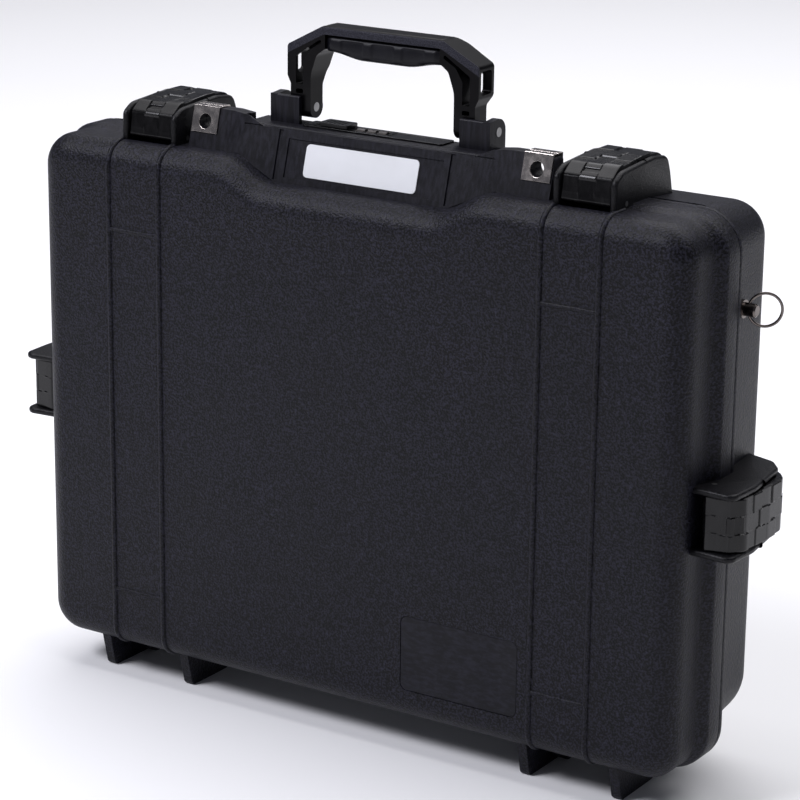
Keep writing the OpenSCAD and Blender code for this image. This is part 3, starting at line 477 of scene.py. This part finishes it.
LATCH_X, LATCH_Z, LATCH_ROOM, ROOM_END = 163.8, 193.0, 17.3, -25.7
WALL, LID_FILLET, BASE_FILLET = 4, 16, 20
lid_wall = (0, 244.5, 22.2, 375.5, 22, 22, 1)
cavity = (0, 240, 26.2, 358.1, 18, 18, 0)
lid_table = [shrink(lid_wall, FRONT, LID_FILLET + by) for by in (3, 1)]
lid_table += fillet_rows(lid_wall, FRONT, LID_FILLET, 1) + [shrink(lid_wall, -34, 0)]
lid_table += [(SEAM - 23 + 9.5 * t,) + flange_curve(ease(t)) for t in np.linspace(0, 1, 10)]
lid_table += [(y,) + flange_curve(1) for y in (-13, -7.3)]
lid_table += [shrink((0,) + flange_curve(1), y, by) for y, by in ((-6.9, 0.12), (-6.6, 0.4), (SEAM, 0.8))]
groove_out, groove_in = (0, 246.4, 21.6, 364.5, 23.4, 23.4, 0), (0, 243, 25, 361.1, 20, 20, 0)
lid_table += [shrink(groove_out, SEAM, 0), shrink(groove_out, SEAM - 4, 0), shrink(groove_in, SEAM - 4, 0),
              shrink(groove_in, SEAM, 0), shrink(cavity, SEAM, 0)]
lid_table += fillet_rows(cavity, FRONT + WALL, 13, 1)[::-1] + [shrink(cavity, FRONT + WALL, 15)]
latch_rooms = [block((x - LATCH_ROOM, -43.4, 369.3), (x + LATCH_ROOM, ROOM_END, 385))
               for x in (-LATCH_X, LATCH_X)]
latch_rooms += [block((x0, -43.1, LATCH_Z - LATCH_ROOM), (x1, ROOM_END, LATCH_Z + LATCH_ROOM))
                for x0, x1 in ((-260, -243.1), (243.1, 260))]
PLATE_X, PLATE_Z, PLATE_HALF_W, PLATE_HALF_H = 91.4, 69.9, 43.7, 25.65
plate_seat = rounded_slab(PLATE_X - PLATE_HALF_W, PLATE_X + PLATE_HALF_W, PLATE_Z - PLATE_HALF_H,
                          PLATE_Z + PLATE_HALF_H, 5, FRONT - 1, FRONT + 1)
new_piece("lid_tub", [shell_rows(lid_table)], "lid_shell", ["lid_shell"], latch_rooms + [plate_seat])

# %% [markdown]
# The base narrows slightly towards its back, as a tub must to leave its mould, and steps in behind the narrow
# flange at the seam.

# %% Base shell
DRAFT = 6
SLOPE = DRAFT / (BACK - SEAM)
base_flange = (0, FLANGE_HALF, 20, FLANGE_TOP, 27, 27, 0)
base_wall = (0, 246.6, 27, FLANGE_TOP, 38, 27, 0)
base_cavity = (0, 240, 31, 358.1, 30, 30, 0)
far_wall = shrink(base_wall, 0, DRAFT)
far_cavity = shrink(base_cavity, 0, SLOPE * (BACK - WALL - SEAM))
base_table = [shrink(far_wall, BACK, BASE_FILLET + by) for by in (3, 1)]
base_table += fillet_rows(far_wall, BACK, BASE_FILLET, -1, SLOPE)
base_table += [shrink(base_wall, y, SLOPE * (y - SEAM)) for y in (36, 20, 6)]
base_table += [shrink(base_wall, y, SLOPE * (y - SEAM) - swell)
               for y, swell in ((0, 0), (-1.7, 0.15), (-2.5, 0.8))]
base_table += [shrink(base_flange, y, by)
               for y, by in ((-2.5, 0.6), (-2.7, 0.15), (-3.1, 0), (-5.9, 0), (-6.3, 0.2), (SEAM, 0.7))]
base_table += [shrink(base_cavity, SEAM, 0)]
base_table += fillet_rows(far_cavity, BACK - WALL, 16, -1, SLOPE)[::-1]
base_table += [shrink(far_cavity, BACK - WALL, 18)]
new_piece("base_tub", [shell_rows(base_table)], "base_shell", ["base_shell"])

# %% [markdown]
# ## Beads
# Rounded beads stiffen both shells. Each is a round profile carried along the shell's own section, with its
# centre a little under the surface, and it runs up under the ears of the latches.


# %% Beads
def carried(path, outward, across, r, sunk, sides=16):
    """A round profile along a path: point + outward (r cos a - sunk) + across r sin a."""
    a = np.linspace(0, 2 * np.pi, sides, endpoint=False)[None, :, None]
    return path[:, None] + outward[:, None] * (r * np.cos(a) - sunk) + across * (r * np.sin(a))


def loop_section(face, out, r, low, high, slope, run):
    """Path and outward direction of a bead, in Y and Z: along the top wall, round the fillet, down the face
    and back under the low wall. The walls spread by slope over the length run towards the seam. out is -1 on
    the lid and 1 on the base."""
    t = np.radians(np.linspace(0, 90, 12))
    turn_y, turn_z = face - out * r + out * r * np.sin(t), r * np.cos(t)
    edge = face - out * r
    z = np.concatenate([[high + slope * run], high - r + turn_z, np.linspace(high - r - 4, low + r + 4, 12),
                        low + r - turn_z[::-1], [low - slope * run]])
    y = np.concatenate([[edge - out * run], turn_y, np.full(12, face), turn_y[::-1], [edge - out * run]])
    ny = np.concatenate([[0], np.sin(t), np.ones(12), np.sin(t)[::-1], [0]]) * out
    nz = np.concatenate([[1], np.cos(t), np.zeros(12), -np.cos(t)[::-1], [-1]])
    return y, z, ny, nz


def bead_grid(x, section):
    """A bead that follows a section at one x."""
    y, z, ny, nz = section
    path, outward = np.stack([0 * y + x, y, z], -1), np.stack([0 * y, ny, nz], -1)
    return carried(path, outward, np.array([1.0, 0, 0]), 2.0, 0.5)


def cross_bead(x0, x1, z, points=6):
    """A short level bead on the lid's face."""
    path = np.stack([np.linspace(x0, x1, points), np.full(points, FRONT), np.full(points, z)], -1)
    return carried(path, np.tile([0.0, -1, 0], (points, 1)), np.array([0, 0, 1.0]), 1.5, 0.5)


NEAR_X, FAR_X = 144, 185
BEAD_X = (-FAR_X, -NEAR_X, NEAR_X, FAR_X)
lid_section = loop_section(FRONT, -1, LID_FILLET, 22.2, 375.5, 0, 12)
base_section = loop_section(BACK, 1, BASE_FILLET, 33, 371.7, SLOPE, 16)
crosses = [cross_bead(s * NEAR_X, s * FAR_X, z) for s in (-1, 1) for z in (64.7, 317.7)]
new_piece("lid_beads", [bead_grid(x, lid_section) for x in BEAD_X] + crosses, "lid_shell")
new_piece("base_beads", [bead_grid(x, base_section) for x in BEAD_X], "base_shell")

# %% [markdown]
# ## Soft grip
# The grip is moulded over the handle's bar. Its section is a superellipse, fuller than an oval, its underside
# rises towards the ends, and three shallow pads are pressed into the front and the back.


# %% Grip
def grip_grid(half=42.8, top=455.2, rows=97, columns=48):
    """Section at x: y = -5.8 + 10 c and z = middle + reach s, where c and s are cos a and sin a to the power
    2/3.2 with their signs. The low edge is at 440 in the middle and 3.6 higher at the ends, where the section
    also narrows by 0.16. Three pads, 8.4 to each side of their middles, sink 0.7 into front and back."""
    x = np.linspace(-half, half, rows)[:, None]
    a = np.linspace(0, 2 * np.pi, columns, endpoint=False)[None, :]
    c, s = [np.sign(v) * np.abs(v) ** (2 / 3.2) for v in (np.cos(a), np.sin(a))]
    low = 440.0 + 3.6 * ease((np.abs(x) - 16) / 24)
    end = 1 - 0.16 * ease((np.abs(x) - 38.5) / 4.3)
    y = -5.8 + 10.0 * end * c
    z = (top + low) / 2 + (top - low) / 2 * s
    from_pad = np.abs(x - np.array([-23, 0, 23])).min(axis=1, keepdims=True)
    pad = ease((8.4 - from_pad) / 0.8) * ease((z - 442.6) / 1.0) * ease((452.6 - z) / 1.0)
    y = y - 0.7 * pad * np.sign(np.cos(a))
    return np.stack([x + 0 * y, y, z], -1)


new_piece("grip_sleeve", [grip_grid()], "handle_grip", ["handle_grip"], crease=60)


# %% [markdown]
# ## Split rings
# A split ring is two turns of wire lying side by side, with a short step where one turn crosses to the other.


# %% Split rings
def split_ring(side):
    """Wire centre at angle a of two turns, shifted along the ring's axis from -0.45 to 0.45. The ring's
    middle is one radius out from the stud's hole, turned 32 degrees to the back."""
    radius, start = 10.35, 0.9
    a = np.linspace(0.0, 4 * np.pi - 0.05, 150) + start
    turned = np.radians(32)
    out = np.array([np.cos(turned), np.sin(turned), 0])
    axis, up = np.array([np.sin(turned), -np.cos(turned), 0]), np.array([0, 0, 1.0])
    shift = 0.9 * ease((a - start - 1.75 * np.pi) / (0.5 * np.pi)) - 0.45
    radial = np.cos(a)[:, None] * out + np.sin(a)[:, None] * up
    centre = np.array([250.5, 8.0, 315.0]) + out * radius + radial * radius + shift[:, None] * axis
    b = np.linspace(0, 2 * np.pi, 12, endpoint=False)[None, :, None]
    grid = centre[:, None] + radial[:, None] * 0.85 * np.cos(b) + axis * 0.46 * np.sin(b)
    return grid * np.array([side, 1, 1])


for name, side in (("strap_ring_left", -1), ("strap_ring_right", 1)):
    new_piece(name + "_wire", [split_ring(side)], name, [name], crease=50)


# %% [markdown]
# ## Latch ears
# Each latch swings between two ears, whose edges are fully rounded. An ear is its outline from the side,
# carried through its thickness and drawn in along its own normals at both faces. The lid and the base each
# own the part on their side of the seam, so the points past the seam are pushed back onto it, which closes
# the cut face.


# %% Rounded outlines
def rounded_outline(corners, arc=8, step=0.6):
    """Closed outline of corners (y, h, r). Each corner is replaced by an arc that touches both its sides, and
    the whole line is then sampled about every step."""
    points = []
    for i in range(len(corners)):
        here = np.array(corners[i][:2], float)
        ends = [np.array(corners[(i + k) % len(corners)][:2], float) - here for k in (-1, 1)]
        u, v = [e / np.linalg.norm(e) for e in ends]
        half = math.acos(float(np.clip(u @ v, -1, 1))) / 2
        r = min(corners[i][2], 0.48 * min(np.linalg.norm(e) for e in ends) * math.tan(half))
        t = np.linspace(0, 1, arc)[:, None]
        bisector = (u + v) / np.linalg.norm(u + v)
        centre = here + bisector * r / math.sin(half)
        start, stop = here + u * r / math.tan(half) - centre, here + v * r / math.tan(half) - centre
        spoke = start * (1 - t) + stop * t
        length = np.linalg.norm(spoke, axis=1, keepdims=True)
        points.append(centre + (spoke / np.maximum(length, 1e-9) * r if r > 0.01 else 0 * spoke))
    return resampled(np.concatenate(points), step)


def resampled(points, step):
    """Points at equal steps along a closed line."""
    loop = np.concatenate([points, points[:1]])
    along = np.concatenate([[0], np.cumsum(np.linalg.norm(np.diff(loop, axis=0), axis=1))])
    at = np.arange(0, along[-1] - step / 2, step)
    return np.stack([np.interp(at, along, loop[:, k]) for k in (0, 1)], -1)


def outward(points):
    """Unit normals of a closed outline that runs anticlockwise or clockwise, pointing away from it."""
    run = np.roll(points, -1, 0) - np.roll(points, 1, 0)
    length = np.linalg.norm(run, axis=1, keepdims=True)
    normal = np.stack([run[:, 1], -run[:, 0]], -1) / np.maximum(length, 1e-9)
    x, y = points.T
    turn = np.sum(x * np.roll(y, -1) - np.roll(x, -1) * y)
    return normal if turn > 0 else -normal


# %% Places of the four latches
def placed(grid, at):
    """From a latch's own frame, width w, depth y and height h over the flange, to the case."""
    w, y, h = grid[..., 0], grid[..., 1], grid[..., 2]
    kind, side = at
    if kind == "top":
        return np.stack([side * LATCH_X + w, y, FLANGE_TOP + h], -1)
    return np.stack([side * (FLANGE_HALF + h), y, LATCH_Z - w], -1)


LATCHES = {"latch_top_left": ("top", -1), "latch_top_right": ("top", 1),
           "latch_side_left": ("side", -1), "latch_side_right": ("side", 1)}
EAR_H, EAR_IN, EAR_OUT = 23.8, 17.5, 21.93
TOP_EAR = [(-37.5, -8, 0), (-37.5, 16, 6), (-29, EAR_H - 2.4, 14), (10, EAR_H + 0.2, 20), (28, EAR_H - 2, 8),
           (32, 12, 8), (35.6, -1.5, 3), (41, -8, 0)]
SIDE_EAR = [(-37, -10, 0), (-39.6, EAR_H - 1.8, 6), (-12, EAR_H, 20), (28, EAR_H - 5, 8), (38, EAR_H - 13, 8),
            (43, -5, 3), (47, -14, 0)]


# %% Ears
def ear_grid(corners, inner, outer, keeps, r=2.0):
    """Rows across the ear. At angle t of a rounded edge, x runs r sin t along the ear's thickness and the
    outline is drawn in by r (1 - cos t). Corners are (depth from the seam, height, radius)."""
    outline = rounded_outline([(y + SEAM, h, c) for y, h, c in corners])
    normal = outward(outline)
    t = np.radians(np.linspace(-90, 90, 14))
    x = np.where(t < 0, inner + r, outer - r) + r * np.sin(t)
    line = outline[None] - normal[None] * (r * (1 - np.cos(t)))[:, None, None]
    y = np.minimum(line[..., 0], SEAM) if keeps == "lid" else np.maximum(line[..., 0], SEAM)
    return np.stack([x[:, None] + 0 * y, y, line[..., 1]], -1)


def all_ears(keeps):
    """The ears of the four latches, two to each, as the lid or the base keeps them."""
    grids = []
    for at in LATCHES.values():
        corners = TOP_EAR if at[0] == "top" else SIDE_EAR
        for inner, outer in ((EAR_IN, EAR_OUT), (-EAR_OUT, -EAR_IN)):
            grids.append(placed(ear_grid(corners, inner, outer, keeps), at))
    return grids


new_piece("lid_ear_pairs", all_ears("lid"), "lid_ears", ["lid_ears"])
new_piece("base_ear_pairs", all_ears("base"), "base_ears", ["base_ears"])

# %% [markdown]
# ## Latch levers
# The lever's face is a patchwork of raised blocks in three lanes. Its section is one closed outline, and the
# blocks are a height over the two parameters of the surface, the length along the outline and the place
# across the lever, added along the outline's normal. Steep steps between the blocks catch the light as thin
# lines.

# %% Lever outline and its blocks
LEVER_H, LEVER_T, LEVER_HALF, LEVER_LOW = 23.6, 4.6, 17.2, -35.5
LEVER_SKIN = [(LEVER_LOW, 0, 1.5), (-33, LEVER_H - 7.6, 3), (-24, LEVER_H - 1.2, 8), (4, LEVER_H + 0.4, 40),
              (24, LEVER_H, 8), (34, LEVER_H - 7.4, 1.2), (31, LEVER_H - 9.4, 1.2),
              (22, LEVER_H - LEVER_T, 6), (-22, LEVER_H - LEVER_T - 1.2, 6),
              (LEVER_LOW + LEVER_T + 1.8, LEVER_H - 10, 3), (LEVER_LOW + LEVER_T, 0, 1)]
FACE_END, LAST_STOP = 84.5, 86.0
TILT, WAVE, RELIEF, EDGE_R = 0.25, 0.25, 0.9, 0.5
LANES = (((0, 5, 15.5, 26, 35, 45, 58, 70), (0.30, 0.58, 1.45, 0.35, 1.30, 0.30, 1.40, 0.6)),
         ((0, 14, 19, 22, 25.5, 43, 56, 73), (0.50, 1.35, 0.15, 1.20, 0.50, 1.50, 0.45, 1.0)),
         ((0, 4.5, 15, 30, 39, 52, 64, 76), (0.35, 0.60, 1.45, 0.30, 1.15, 1.45, 0.35, 0.9)))


def block_height(along, w):
    """Height of the blocks. Each of the three LANES gives the starts of its blocks along the outline and
    their levels. A block tilts up by TILT over its length, the lanes' borders wave by WAVE, and RELIEF
    scales it all."""
    height = 0 * along + 0 * w
    edges = np.linspace(-LEVER_HALF, LEVER_HALF, 4)
    for lane, (starts, levels) in enumerate(LANES):
        lane_height = 0 * along
        for i, (start, level) in enumerate(zip(starts, levels)):
            stop = starts[i + 1] if i + 1 < len(starts) else LAST_STOP
            inside = ease((along - start) / 0.5 + 0.5) * ease((stop - along) / 0.5 + 0.5)
            lane_height = lane_height + inside * (level + TILT * (along - start) / (stop - start) - 0.12)
        wave = WAVE * np.sin(along * 0.35 + lane)
        across = ease((w - edges[lane] - wave) / 0.4 + 0.5)
        across = across * ease((edges[lane + 1] + wave - w) / 0.4 + 0.5)
        height = height + across * lane_height
    rim = ease((LEVER_HALF - np.abs(w)) / 0.7) * ease((along - 0.3) / 0.8) * ease((FACE_END - along) / 1.5)
    return height * rim * RELIEF


# %% Levers
def lever_face(rows=72):
    """The lever's skin: its outline, counted from the low front corner, at each w across the lever. The
    blocks push it out along its normals, and the edges at w = LEVER_HALF are rounded by EDGE_R."""
    outline = rounded_outline([(y + SEAM, h, c) for y, h, c in LEVER_SKIN], step=0.45)
    first = int(np.argmin(np.linalg.norm(outline - np.array([SEAM + LEVER_LOW, 0.6]), axis=1)))
    outline = np.roll(outline, -first, 0)
    normal = outward(outline)
    along = np.concatenate([[0], np.cumsum(np.linalg.norm(np.diff(outline, axis=0), axis=1))])
    w = LEVER_HALF * np.sin(np.linspace(-np.pi / 2, np.pi / 2, 9))
    w = np.unique(np.concatenate([np.linspace(-LEVER_HALF, LEVER_HALF, rows), w]))[:, None]
    height = np.where(along[None] < FACE_END, block_height(along[None], w), 0)
    inset = EDGE_R * (1 - np.sqrt(1 - np.clip((np.abs(w) - LEVER_HALF + EDGE_R) / EDGE_R, 0, 1) ** 2))
    line = outline[None] + normal[None] * (height - inset)[..., None]
    return np.stack([w + 0 * line[..., 0], line[..., 0], line[..., 1]], -1)


def prism(outline, w0, w1):
    """An outline in y and h, carried straight across the lever."""
    outline = np.asarray(outline, float)
    return np.stack([np.concatenate([np.full((len(outline), 1), w), outline], 1) for w in (w0, w1)])


def circle_part(r0, r1, low, high, centre, n=24):
    """A ring's part between two radii and two angles, or a whole disc where r0 is 0."""
    a = np.radians(np.linspace(low, high, n, endpoint=r0 > 0))
    outer = np.stack([centre[0] + r1 * np.cos(a), centre[1] + r1 * np.sin(a)], -1)
    if r0 == 0:
        return outer
    inner = np.stack([centre[0] + r0 * np.cos(a[::-1]), centre[1] + r0 * np.sin(a[::-1])], -1)
    return np.concatenate([outer, inner])


# PIN is the pivot in y and h, BARREL the radius round it, and REACH runs from it to the inside of the jaw.
PIN, BARREL, REACH = (SEAM - 24, 1.2), 4.3, math.hypot(36.5, 6.8) + 2.3
web = [(PIN[0] - BARREL, 1.2), (SEAM - 32.5, 8), (SEAM - 30.5, LEVER_H - 9), (PIN[0] + BARREL, LEVER_H - 3),
       (PIN[0] + BARREL, 1.2)]
rib = [(PIN[0] + 2, LEVER_H - 2), (PIN[0] + 2, LEVER_H - 12), (PIN[0] + REACH + 2, LEVER_H - 10),
       (PIN[0] + REACH + 2, LEVER_H - 2)]
lever_parts = [lever_face(), prism(circle_part(0, BARREL, 0, 360, PIN), -LEVER_HALF, LEVER_HALF),
               prism(web, -LEVER_HALF + 0.1, LEVER_HALF - 0.1),
               prism(circle_part(REACH, REACH + 4, 4, 30, PIN), -9, 9)]
side_rib = rib[:3] + [(SEAM + 30.5, LEVER_H - 10.2), (SEAM + 32, LEVER_H - 8.4), (SEAM + 24, LEVER_H - 1.5)]
lever_parts += [prism(rib, -1.2, 1.2)]
lever_parts += [prism(side_rib, w, w + 2.4) for w in (-LEVER_HALF + 0.1, LEVER_HALF - 2.5)]
for name, at in LATCHES.items():
    new_piece(name + "_lever", [placed(part, at) for part in lever_parts], name, [name], crease=40)

# %% [markdown]
# ## Soft edges on the remaining solids
# No moulded or pressed edge is a knife edge: each has a small radius that catches the light, and on a black
# object those lines draw its shape. A copy of a node is merged, its flat triangles are joined back into
# faces, and a Bevel modifier rounds what is left of the sharp edges.


# %% Rounded copies
SHARP = math.radians(32)


def rounded_copy(name, radius, segments=3):
    """A copy of a CAD node with its coplanar triangles joined and its sharp edges rounded."""
    copy = bpy.data.objects.new(name + "_soft", nodes[name].data.copy())
    bpy.context.scene.collection.objects.link(copy)
    join_flat_faces(copy.data)
    bevel = copy.modifiers.new("edge", "BEVEL")
    bevel.width, bevel.segments = radius, segments
    bevel.limit_method, bevel.angle_limit = "ANGLE", SHARP
    bevel.use_clamp_overlap = bevel.harden_normals = True
    dress(copy, finish_of(name))
    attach(copy, body_of[name])
    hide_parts(name)
    return copy


def join_flat_faces(mesh):
    """Merges the loose triangles and joins those that lie in one plane. Edges turning less than
    SHARP are smooth."""
    bm = bmesh.new()
    bm.from_mesh(mesh)
    bmesh.ops.remove_doubles(bm, verts=bm.verts, dist=2e-6)
    bmesh.ops.dissolve_limit(bm, angle_limit=math.radians(0.6), verts=bm.verts, edges=bm.edges)
    for face in bm.faces:
        face.smooth = True
    for edge in bm.edges:
        edge.smooth = len(edge.link_faces) == 2 and edge.calc_face_angle(0) < SHARP
    bm.to_mesh(mesh)
    bm.free()


EDGE = {"base_deck": 0.0009, "base_feet": 0.0012, "lid_panel": 0.0008, "lid_feet": 0.0012,
        "handle_frame": 0.0011, "lock_housing": 0.0003, "lock_slider": 0.0004,
        "padlock_plate_lid_left": 0.0003, "padlock_plate_lid_right": 0.0003,
        "padlock_plate_base_left": 0.0003, "padlock_plate_base_right": 0.0003,
        "strap_stud_left": 0.0004, "strap_stud_right": 0.0004,
        "name_plate": 0.0003, "lock_dial_1": 0.0003, "lock_dial_2": 0.0003, "lock_dial_3": 0.0003}
for name, radius in EDGE.items():
    rounded_copy(name, radius)
for name in nodes:
    dress(nodes[name], finish_of(name))

# %% [markdown]
# ## Floor and light
# The case stands on a pale floor under a broad soft light above, with a softbox before it and to the left.
# That one draws the fillets along the top and leaves the right wall dark, as in a product picture.


# %% Floor and lights
def floor(size=12.0):
    """A square of stage floor that reaches size metres each way."""
    corners = [(-size, -size, 0), (size, -size, 0), (size, size, 0), (-size, size, 0)]
    mesh = bpy.data.meshes.new("floor")
    mesh.from_pydata(corners, [], [(0, 1, 2, 3)])
    obj = bpy.data.objects.new("floor", mesh)
    bpy.context.scene.collection.objects.link(obj)
    f = Finish("floor")
    cloud = f.noise(0.8, 2.0, 0.5)
    paper = f.mix(cloud, (0.92, 0.92, 0.92), (0.95, 0.95, 0.95))
    mesh.materials.append(f.says(Base_Color=paper, Roughness=0.9))


def softbox(name, place, aim, size, power, colour):
    """A rectangular lamp at a place, turned to an aim, both in metres."""
    data = bpy.data.lights.new(name, "AREA")
    data.shape = "RECTANGLE"
    data.size, data.size_y = size
    data.energy, data.color = power, colour
    lamp = bpy.data.objects.new(name, data)
    lamp.location = place
    lamp.rotation_euler = (Vector(aim) - Vector(place)).to_track_quat("-Z", "Y").to_euler()
    bpy.context.scene.collection.objects.link(lamp)


floor()
softbox("overhead", (0.0, 1.4, 3.2), (0, 0.8, 0), (5.0, 4.0), 160, (0.98, 0.97, 1.0))
softbox("key", (-1.1, -1.5, 2.1), (0, 0, 0.3), (1.1, 0.8), 52, (0.92, 0.92, 1.0))

world = bpy.data.worlds.new("studio")
bpy.context.scene.world = world
world.use_nodes = True
world.node_tree.nodes["Background"].inputs["Color"].default_value = (0.83, 0.86, 1.0, 1)
world.node_tree.nodes["Background"].inputs["Strength"].default_value = 0.15
bpy.context.scene.view_settings.view_transform = "Standard"
